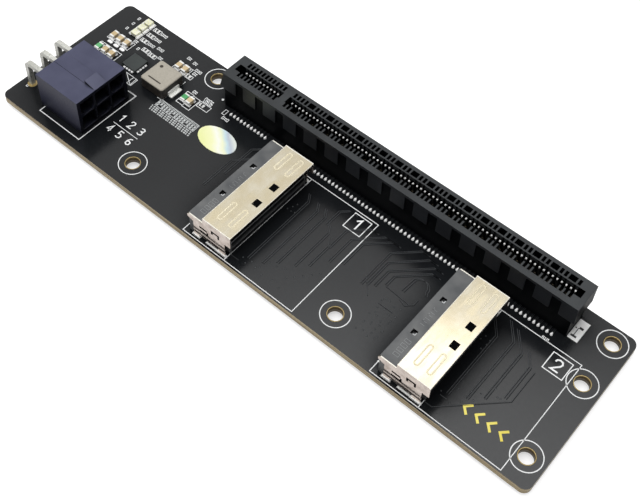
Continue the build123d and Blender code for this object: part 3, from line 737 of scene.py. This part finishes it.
def mould_marks(bm):
    """Faint raised bars and hollow boxes moulded into the top of each block."""
    raised = on(BLOCK_TOP, 0.02)
    thick, bar_step, box_step = 0.12, 0.8, 1.15
    for rear in SOCKETS:
        left = rear + 2.5
        for index in range(6):
            y = SOCKET_Y - 2.3 + index * bar_step
            box(bm, (left, left + 1.0), (y, y + thick), raised)
            if index % 2:
                box(bm, (left, left + 0.15), (y, y + 0.5), raised)
        for index in range(4):
            y = SOCKET_Y - 10.6 + index * box_step
            ribbon(bm, rectangle((left, left + 1.2), (y, y + 0.65)), thick, raised, True)


def nose_line(bm):
    """The light that runs along the top edge of each block's nose."""
    for rear in SOCKETS:
        x_span = (rear + NOSE_X - 0.05, rear + NOSE_X + 0.03)
        box(bm, x_span, about(SOCKET_Y, 11.35), (BOARD_TOP + 3.25, BOARD_TOP + 3.43))


def nose_shade(bm):
    """Dark plates of painted shade on the face of the nose under the shell's front edge, and on its top."""
    for rear in SOCKETS:
        x = rear + NOSE_X
        for low, high in ((0.1, 1.15), (2.25, 3.2)):
            box(bm, about(x, 0.02), about(SOCKET_Y, 10.95), (BOARD_TOP + low, BOARD_TOP + high))
        box(bm, (rear + 6.2, x - 0.1), about(SOCKET_Y, 10.75), (BOARD_TOP + 3.39, BOARD_TOP + 3.45))


def notches(corner, width, depth):
    """A piece builder for a bent line along two edges of each of the square notches in the blocks, for
    their painted highlights and painted shade.
    """
    def builder(bm):
        top = BLOCK_TOP + 0.02
        for rear in SOCKETS:
            for y in about(SOCKET_Y, 4.55):
                ribbon(bm, [(rear + x, y + across) for x, across in corner], width, (top - depth, top))
    return builder


def shell_shades(bm):
    """Painted shade: dark plates seen through each shell's windows, and dark strips over the slits of its
    side walls.
    """
    for rear in SOCKETS:
        for y in about(SOCKET_Y, 2.55):
            x_span = (rear + WINDOW[0], rear + WINDOW[1])
            box(bm, x_span, about(y, 1.1), (SHELL_TOP - 0.32, SHELL_TOP - 0.27))
        for y in (SOCKET_FRONT, SOCKET_BACK):
            for left, right, low, high in SLITS:
                box(bm, (rear + left, rear + right), about(y, 0.012), (BOARD_TOP + low, BOARD_TOP + high))


# Painted highlight and painted shade at the notches' edges.
GLINT = notches([(2.8, -0.4), (3.3, -0.4), (3.3, 0.15)], 0.2, 0.3)
SHADE = notches([(2.36, -0.5), (2.36, 0.54), (3.4, 0.54)], 0.16, 0.4)

make_piece("shell_ribs", shell_ribs, RIB_HIGHLIGHT_METAL)
make_piece("shell_edge_highlights", shell_edge_highlights, EDGE_HIGHLIGHT_METAL)
make_piece("mould_marks", mould_marks, PALE_GREY)
make_piece("nose_line", nose_line, NOSE_EDGE)
make_piece("nose_shade", nose_shade, DARK_MASK_AND_SHADE)
make_piece("notch_glints", GLINT, NOTCH_HIGHLIGHT)
make_piece("notch_shades", SHADE, DEEP_SHADE)
make_piece("shell_shades", shell_shades, DEEP_SHADE)


# Print on the board

PRINT = on(BOARD_TOP, 0.02)
LINE = 0.2
PLUG_LINE = 0.17
FINE = 0.14
HOLE_LINE_RADIUS = 3.03
HEADER_FRAME = ((-59.45, -46.95), (-16.95, -0.25))
# The outline of each socket and its cable plug, and how far the plug's line lies from the rear
PLUG_FRAMES = [(-13.83, 15.15), (34.23, 63.45)]
PLUG_FRAME_Y = (-18.95, 8.0)
PLUG_START = 11.2
# The boxed numbers of the sockets: the corner of the box, the figure's stroke, its corner and its size
FIGURE_BOX = (4.25, 4.18)
ONE = [(0.0, 0.72), (0.32, 1.0), (0.32, 0.0)]
TWO = [(0.0, 0.72), (0.06, 0.9), (0.25, 1.0), (0.48, 0.95), (0.58, 0.76), (0.5, 0.54), (0.0, 0.0),
       (0.62, 0.0)]
BOXED = [((9.75, 3.15), ONE, (11.25, 3.9), 2.7), ((57.95, 2.85), TWO, (59.25, 3.65), 2.6)]
# Fine frames round the small parts, as spans of X and Y
PART_FRAMES = [((-58.85, -56.75), (16.8, 17.8)), ((-58.85, -56.75), (14.7, 15.7)),
               ((-58.85, -56.75), (12.6, 13.6)), ((-56.35, -54.25), (10.6, 11.6)),
               ((-54.05, -51.95), (10.4, 11.4)), ((-43.45, -41.35), (11.25, 12.3)),
               ((-35.05, -31.95), (6.7, 8.3)), ((-39.35, -37.45), (4.7, 8.5)),
               ((-37.4, -35.3), (4.55, 8.3)), ((-65.05, -58.5), (3.2, 6.55)),
               ((-65.2, -58.6), (8.3, 10.9)), ((-47.25, -43.0), (11.3, 13.95)),
               ((-51.35, -50.1), (1.2, 3.4)), ((-29.3, -28.55), (8.75, 10.2))]
# The rows of fine print: where each starts, and its number of marks
PRINT_ROWS = [(-56.4, 16.9, 3), (-56.4, 14.85, 3), (-56.4, 12.75, 3), (-53.9, 13.2, 3), (-51.6, 11.2, 2),
              (-64.2, 17.0, 1), (-64.1, 15.0, 1), (-64.1, 13.0, 1), (-59.6, 11.3, 2), (-57.3, 10.0, 1),
              (-46.6, 15.6, 2), (-44.5, 15.3, 2), (-42.6, 14.0, 3), (-42.3, 12.9, 2), (-38.4, 9.0, 2),
              (-34.9, 9.2, 4), (-34.7, 8.5, 4), (-28.4, 7.7, 3), (-67.3, -14.2, 1)]
TABLE_X = (-42.0, -30.4)
TABLE_Y = (0.85, 2.9)
TABLE_COLUMNS = 15
# The strokes of the pin numbers 1 to 6, each in a square of 1
FIGURES = [
    [(0.08, 0.78), (0.34, 1.0), (0.34, 0.0)],
    [(0.0, 0.74), (0.1, 0.94), (0.3, 1.0), (0.52, 0.92), (0.56, 0.7), (0.0, 0.0), (0.6, 0.0)],
    [(0.02, 0.9), (0.3, 1.0), (0.54, 0.88), (0.52, 0.62), (0.26, 0.54), (0.56, 0.42), (0.56, 0.12),
     (0.28, 0.0), (0.0, 0.1)],
    [(0.42, 0.0), (0.42, 1.0), (0.0, 0.3), (0.6, 0.3)],
    [(0.54, 1.0), (0.08, 1.0), (0.04, 0.56), (0.36, 0.62), (0.58, 0.4), (0.52, 0.1), (0.24, 0.0),
     (0.0, 0.1)],
    [(0.48, 0.96), (0.2, 0.84), (0.02, 0.46), (0.06, 0.12), (0.3, 0.0), (0.54, 0.12), (0.54, 0.42),
     (0.3, 0.54), (0.06, 0.4)]]
INDUCTOR_TOP = BOARD_TOP + 3.1


def line(bm, points, width=FINE):
    ribbon(bm, points, width, PRINT)


def frame_line(bm, x_span, y_span, width=FINE):
    ribbon(bm, rectangle(x_span, y_span), width, PRINT, True)


def figure(bm, stroke, corner, size, width):
    """A figure drawn in one stroke, standing with its top towards the back edge."""
    line(bm, [(corner[0] + x * size, corner[1] + y * size) for x, y in stroke], width)


def printed_lines(bm):
    """Rings round the holes, outlines of the header and the plugs, and the sockets' boxed numbers."""
    for x, y in HOLES:
        ring(bm, x, y, HOLE_LINE_RADIUS - LINE / 2, HOLE_LINE_RADIUS + LINE / 2, PRINT)
    for rear, front in PLUG_FRAMES:
        frame_line(bm, (rear, front), PLUG_FRAME_Y, PLUG_LINE)
        line(bm, [(rear + PLUG_START, y) for y in PLUG_FRAME_Y], PLUG_LINE)
    frame_line(bm, *HEADER_FRAME, LINE)
    for (left, low), stroke, corner, size in BOXED:
        frame_line(bm, (left, left + FIGURE_BOX[0]), (low, low + FIGURE_BOX[1]), LINE)
        figure(bm, stroke, corner, size, 0.34)


def part_frames(bm):
    """Frames round the small parts, and the marks at the inductor, the chip and the header."""
    for x_span, y_span in PART_FRAMES:
        frame_line(bm, x_span, y_span)
    line(bm, [(-41.75, 10.25), (-41.75, 8.6)])
    line(bm, [(-41.75, 4.6), (-41.75, 2.75), (-43.2, 2.75)])
    ribbon(bm, [(-53.69, 3.45), (-50.53, 3.45), (-50.31, 1.29)], FINE, PRINT, True)
    line(bm, [(-48.95, -0.15), (-46.85, -0.15), (-46.85, -2.05)], LINE)
    ring(bm, -31.85, 11.85, 0.02, 0.3, PRINT, 12)


def marks(bm, x, y, count, step=0.62, width=0.42, height=0.7):
    """A run of small hollow boxes and pairs of bars where the board has its fine print."""
    for index in range(count):
        x_span = (x + index * step, x + index * step + width)
        if index % 2:
            box(bm, x_span, (y, y + height * 0.35), PRINT)
            box(bm, x_span, (y + height * 0.65, y + height), PRINT)
        else:
            frame_line(bm, x_span, (y, y + height))


def fine_print(bm):
    for x, y, count in PRINT_ROWS:
        marks(bm, x, y, count)
    marks(bm, 54.5, 8.05, 3, 0.5, 0.3, 0.5)


def print_table(bm):
    """A ruled table beside the inductor, with plain squares and bars in it, and three rows below it."""
    left, right = TABLE_X
    step = (right - left) / TABLE_COLUMNS
    low_cell, middle_cell, high_cell = (0.98, 1.42), (1.68, 2.18), (2.4, 2.84)
    frame_line(bm, TABLE_X, TABLE_Y, 0.16)
    for y in (1.55, 2.3):
        line(bm, [(left, y), (right, y)], 0.1)
    for index in range(TABLE_COLUMNS):
        x = left + index * step
        box(bm, (x + 0.1, x + step * 0.72), middle_cell, PRINT)
        if index % 5 != 1:
            box(bm, (x + 0.16, x + step * 0.8), low_cell, PRINT)
        for x_span in ((x + 0.08, x + 0.24), (x + 0.42, x + 0.6)):
            box(bm, x_span, high_cell, PRINT)
    row_start, row_step, row_shift, row_height = -42.4, 0.61, 0.12, 0.36
    for row, y in enumerate((0.2, -0.32, -0.84)):
        for index in range(20):
            x = row_start + index * row_step + row_shift * row
            width = 0.28 + 0.1 * ((index * 7 + row * 3) % 3)
            box(bm, (x, x + width), (y, y + row_height), PRINT)


def pin_numbers(bm):
    """The header's pins numbered 1 to 6 in front of its mouth, three to a row."""
    column_step, row_step = 2.9, 3.6
    for index, stroke in enumerate(FIGURES):
        corner = (-44.9 + column_step * (index % 3), -7.6 - row_step * (index // 3))
        figure(bm, stroke, corner, 1.9, 0.26)
    line(bm, [(-45.1, -8.6), (-37.7, -8.6)])


def plug_arrows(bm):
    """Four plain arrowheads that point the way a plug goes in."""
    for index in range(4):
        x = 51.6 + 2.6 * index
        line(bm, [(x + 1.2, -14.4), (x, -13.2), (x + 1.2, -12.0)], 0.5)


def winding_mark(bm):
    """A dot and a bar on the inductor's top, beside the end where its winding starts."""
    raised = on(INDUCTOR_TOP, 0.015)
    slab(bm, circle(-46.9, 8.1, 0.42, 20), raised)
    box(bm, (-47.1, -43.3), (4.0, 4.35), raised)


make_piece("printed_lines", printed_lines, INK)
make_piece("part_frames", part_frames, INK)
make_piece("fine_print", fine_print, INK)
make_piece("print_table", print_table, FINE_INK)
make_piece("pin_numbers", pin_numbers, INK)
make_piece("plug_arrows", plug_arrows, YELLOW_INK)
make_piece("winding_mark", winding_mark, DARK_INK)


# Raised traces and via dots under the mask, drawn lighter as painted highlights, with painted shade beside
# the traces

TRACE_WIDTH = 0.15
TRACE_HEIGHT = 0.03
SHADE_HEIGHT = 0.02
SHADE_SHIFT = 0.13
PAIR_GAP = 0.45
# The pairs beside each plug, which run back and then bend left: X, both ends of Y, and the bend
FIRST_PLUG_PAIRS = [(0.7, -15.4, 3.0), (3.6, -14.3, 2.4), (5.75, -12.4, 2.3), (8.75, -10.6, -0.2),
                    (10.85, -8.7, -2.4)]
SECOND_PLUG_PAIRS = [(47.85, -13.2, 2.7, 2.5), (51.1, -11.6, 3.7, 3.0), (53.55, -9.4, 2.6, 3.4),
                     (56.35, -7.0, 1.3, 2.0)]
# The pairs that bend right, towards the card slot: X, the start and the bend in Y, and the bend's reach
SLOT_PAIRS = [(7.1, 1.2, 5.4, 1.5), (11.1, -2.9, 2.6, 3.6), (13.2, -5.4, 1.6, 5.0),
              (15.6, -4.0, 2.2, 4.4), (21.2, -5.1, 4.2, 4.6), (22.2, -4.5, 2.1, 6.0),
              (23.5, -3.8, 0.6, 6.6), (25.1, -2.2, 0.4, 5.4)]
LEFT_PAIRS = [(-18.7, -8.0), (-17.4, -3.0)]
SINGLE_RUNS = [[(45.4, -17.2), (47.2, -17.2), (56.6, -7.8), (57.6, -6.8), (57.6, 1.0)],
               [(46.9, -14.2), (48.4, -14.2)], [(25.2, -2.45), (31.2, -2.85)],
               [(26.4, -6.35), (29.8, -6.35)], [(20.7, -3.0), (23.8, -6.4)], [(-2.6, -17.0), (-0.4, -17.0)]]
VIAS = [(-1.5, -1.1), (-1.0, 0.0), (-0.6, 1.0), (-0.5, -1.1), (0.3, -0.9), (0.5, 0.45), (-0.2, -15.9),
        (1.8, -15.5), (3.7, -15.5), (4.5, -13.4), (6.3, -13.2), (7.9, -12.4), (45.9, 0.2), (46.3, 1.3),
        (47.5, 1.0), (47.1, -1.5), (47.5, -0.1), (46.6, -13.5), (48.8, -11.1), (50.9, -10.0), (52.5, -9.2),
        (54.0, -6.6), (55.8, -7.7), (26.6, -5.8), (27.1, -4.7), (29.0, -5.4), (27.3, -8.5), (28.1, -10.6),
        (29.6, -12.5), (30.9, -12.5), (30.9, -10.8), (30.8, -8.2), (29.7, -10.3)]


def pair(points, gap=PAIR_GAP):
    """Two lines side by side along points."""
    return [[(x + shift, y) for x, y in points] for shift in (-gap / 2, gap / 2)]


def plug_runs():
    """Pairs in front of each socket."""
    runs = []
    for x, low, high in FIRST_PLUG_PAIRS:
        runs += pair([(x, low), (x, high), (x - 1.1, high + 1.8)])
    for x, low, high, reach in SECOND_PLUG_PAIRS:
        runs += pair([(x, low), (x, high), (x - reach, high + reach + 0.6)])
    return runs


def lane_runs():
    """Pairs that run from the area left of the second socket and bend towards the card slot."""
    runs = []
    for x, low, bend, reach in SLOT_PAIRS:
        end = bend + reach
        runs += pair([(x, low), (x, bend), (x + reach, end), (x + reach + 1.8, end)])
    for x, y in LEFT_PAIRS:
        runs += pair([(x, y), (x, y + 8.6), (x + 3.0, y + 11.6)])
    arc = circle(30.3, 1.6, 1.9, 10, 150.0, -150.0)
    runs += pair([(28.4, -1.2)] + arc + [(32.6, 0.9)], 0.5)
    return runs + [[(28.9, -3.0), (30.6, -3.6), (31.9, -2.3), (31.9, -0.8)]]


def draw_runs(runs, shift, height):
    """A piece builder for raised lines along runs, moved aside by shift."""
    def builder(bm):
        for points in runs:
            moved = [(x + shift, y - shift) for x, y in points]
            ribbon(bm, moved, TRACE_WIDTH, on(BOARD_TOP, height), False, 0.6)
    return builder


def via_dots(bm):
    """Vias at the ends of the pairs, under the second socket's rear side, and in rows by the plugs."""
    places = list(VIAS)
    for column in range(4):
        for row in range(5):
            places.append((26.6 + column * 1.35 + 0.3 * (row % 2), -13.6 + row * 2.1 + 0.5 * (column % 2)))
    for index in range(5):
        places += [(1.0 + index * 2.2, -16.6 + 0.5 * (index % 2)), (9.4 + index * 1.1, -14.0 + index * 1.3),
                   (49.2 + index * 1.5, -14.6 + index * 1.7)]
    for x, y in places:
        slab(bm, circle(x, y, 0.2, 10), on(BOARD_TOP, 0.04), 0.6)


# Each run gets a painted highlight line, and a painted shade line moved aside from it.
for title, runs in (("plug", plug_runs()), ("lane", lane_runs()), ("frame", SINGLE_RUNS)):
    lines = draw_runs(runs, 0.0, TRACE_HEIGHT)
    shades = draw_runs(runs, SHADE_SHIFT, SHADE_HEIGHT)
    make_piece(title + "_traces", lines, TRACE_HIGHLIGHT)
    make_piece(title + "_trace_shades", shades, TRACE_SHADE)
make_piece("via_dots", via_dots, TRACE_HIGHLIGHT, True)


# The board's corners, a little fuller than the frame's, and the gold of its holes

CORNER_RADIUS = 3.0
FULL_RADIUS = 1.7


def board_corners(bm):
    """What each corner of the frame's board lacks of a corner with a smaller radius."""
    overlap, inset = 0.05, 0.002
    for turn, x_side, y_side in ((0, 1, 1), (1, -1, 1), (2, -1, -1), (3, 1, -1)):
        start = turn * 90.0
        outer = circle(x_side * (HALF_LENGTH - FULL_RADIUS), y_side * (HALF_WIDTH - FULL_RADIUS),
                       FULL_RADIUS, 10, start, 90.0)
        inner = circle(x_side * (HALF_LENGTH - CORNER_RADIUS), y_side * (HALF_WIDTH - CORNER_RADIUS),
                       CORNER_RADIUS - overlap, 16, start + 90.0, -90.0)
        slab(bm, outer + inner, (BOARD_LOW + inset, BOARD_TOP - inset))


def hole_gold(bm):
    """A flat ring round each hole, above and below."""
    for x, y in HOLES:
        for z_span in (on(BOARD_TOP, 0.04), on(BOARD_LOW, -0.04)):
            ring(bm, x, y, HOLE_RADIUS - 0.03, HOLE_RADIUS + 0.13, z_span)


def hole_walls(bm):
    for x, y in HOLES:
        ring(bm, x, y, HOLE_RADIUS - 0.04, HOLE_RADIUS + 0.02, (BOARD_LOW, BOARD_TOP))


make_piece("board_corners", board_corners, MASK)
make_piece("hole_gold", hole_gold, GOLD, True)
make_piece("hole_walls", hole_walls, SHADED_HOLE_GOLD, True)


# Oval sticker, left bare

STICKER = (-24.8, 2.59)
STICKER_HALF = (4.95, 3.15)


def sticker(bm):
    outline = [(STICKER[0] + STICKER_HALF[0] * x, STICKER[1] + STICKER_HALF[1] * y)
               for x, y in circle(0.0, 0.0, 1.0, 60)]
    slab(bm, outline, on(BOARD_TOP, 0.1), 0.985)


make_piece("oval_sticker", sticker, sticker_material())


# Camera, floor, light and world

PICTURE = (640, 500)
FOCAL_PIXELS = 1138.365
CENTRE_PIXEL = (320.05, 118.196)
SENSOR = 36.0
CAMERA_PLACE = (88.17, -106.9595, 191.827)
# The directions of the picture's right and lower sides, and the way that the camera looks
CAMERA_RIGHT = (0.764571, 0.643682, 0.03323)
CAMERA_DOWN = (0.503974, -0.564894, -0.65338)
CAMERA_AHEAD = (-0.401797, 0.516303, -0.756301)
FLOOR_HALF = 3.0
FLOOR_HEIGHT = -0.0002
# The paper's glow in the camera, dimmed as painted shade where it is covered and full where it is open, and
# in reflections
PAPER_SEEN = (0.6, 0.76)
PAPER_MIRRORED = 0.32
LAMP_PLACE = (-0.06, -0.06, 0.6)
LAMP_SIZE = 0.5
LAMP_POWER = 3.8
WORLD_LIGHT = 0.22
WHITE = (1, 1, 1, 1)
CEILING = (0.8, 0.8, 0.8, 1)


def camera():
    data = bpy.data.cameras.new("photo_camera")
    data.sensor_fit = "HORIZONTAL"
    data.sensor_width = SENSOR
    data.lens = FOCAL_PIXELS / PICTURE[0] * SENSOR
    data.shift_x = (PICTURE[0] / 2 - CENTRE_PIXEL[0]) / PICTURE[0]
    data.shift_y = -(PICTURE[1] / 2 - CENTRE_PIXEL[1]) / PICTURE[0]
    data.clip_start = 0.01
    data.clip_end = 10.0
    made = add("photo_camera", data)
    turn = Matrix((CAMERA_RIGHT, -Vector(CAMERA_DOWN), -Vector(CAMERA_AHEAD))).transposed()
    made.matrix_world = Matrix.Translation(Vector(CAMERA_PLACE) * MM) @ turn.to_4x4()
    bpy.context.scene.camera = made


def paper_material():
    """White paper: dull for the light on it, with its own glow for the camera and for reflections."""
    material = bpy.data.materials.new("floor_paper")
    material.use_nodes = True
    tree = material.node_tree
    tree.nodes.clear()
    out = node(tree, "ShaderNodeOutputMaterial")
    paper = node(tree, "ShaderNodeBsdfDiffuse")
    paper.inputs["Color"].default_value = (0.5, 0.5, 0.5, 1)
    glow = node(tree, "ShaderNodeEmission")
    glow.inputs["Color"].default_value = WHITE
    rays = node(tree, "ShaderNodeLightPath")
    # Painted shade: the paper's glow is a little darker where it is hemmed in, as where it is seen through
    # a hole
    open_paper = ramp(tree, openness(tree, distance=0.01, samples=8), *PAPER_SEEN, start=0.3, end=0.5)
    seen = calculate(tree, "MULTIPLY", rays.outputs["Is Camera Ray"], open_paper)
    strength = calculate(tree, "MULTIPLY_ADD", rays.outputs["Is Glossy Ray"], PAPER_MIRRORED, seen)
    tree.links.new(strength, glow.inputs["Strength"])
    both = node(tree, "ShaderNodeAddShader")
    tree.links.new(paper.outputs[0], both.inputs[0])
    tree.links.new(glow.outputs[0], both.inputs[1])
    tree.links.new(both.outputs[0], out.inputs["Surface"])
    return material


def stage():
    mesh = bpy.data.meshes.new("floor")
    bm = bmesh.new()
    bmesh.ops.create_grid(bm, x_segments=1, y_segments=1, size=FLOOR_HALF)
    bm.to_mesh(mesh)
    bm.free()
    floor = add("floor", mesh)
    floor.location = (0, 0, FLOOR_HEIGHT)
    mesh.materials.append(paper_material())


def background(tree, strength, colour=WHITE):
    made = node(tree, "ShaderNodeBackground")
    made.inputs["Color"].default_value = colour
    feed(tree, made.inputs["Strength"], strength)
    return made.outputs[0]


def choose(tree, factor, first, second):
    """Mixes two shaders."""
    made = node(tree, "ShaderNodeMixShader")
    for socket, value in zip(made.inputs, (factor, first, second)):
        tree.links.new(value, socket)
    return made.outputs[0]


def world():
    """Even light, a white backdrop for the camera, and for reflections a ceiling brightest overhead."""
    made = bpy.data.worlds.new("studio")
    bpy.context.scene.world = made
    made.use_nodes = True
    tree = made.node_tree
    tree.nodes.clear()
    out = node(tree, "ShaderNodeOutputWorld")
    height = axis_of(tree, node(tree, "ShaderNodeTexCoord").outputs["Generated"], "Z")
    overhead = calculate(tree, "ADD", ramp(tree, height, 0.5, 0.88, start=0.71, end=0.79),
                         ramp(tree, height, 0.0, 1.5, start=0.845, end=0.866))
    wall = ramp(tree, height, 0.35, 0.0, start=0.68, end=0.712)
    ceiling = calculate(tree, "ADD", overhead, wall)
    rays = node(tree, "ShaderNodeLightPath")
    lit = choose(tree, rays.outputs["Is Glossy Ray"], background(tree, WORLD_LIGHT),
                 background(tree, ceiling, CEILING))
    seen = choose(tree, rays.outputs["Is Camera Ray"], lit, background(tree, 1.0))
    tree.links.new(seen, out.inputs["Surface"])


def lamp():
    data = bpy.data.lights.new("top_light", "AREA")
    data.shape = "SQUARE"
    data.size = LAMP_SIZE
    data.energy = LAMP_POWER
    made = add("top_light", data)
    made.location = LAMP_PLACE
    made.rotation_euler = (-Vector(LAMP_PLACE)).to_track_quat("-Z", "Y").to_euler()
    made.visible_glossy = False


camera()
stage()
world()
lamp()
bpy.context.scene.view_settings.view_transform = "Standard"
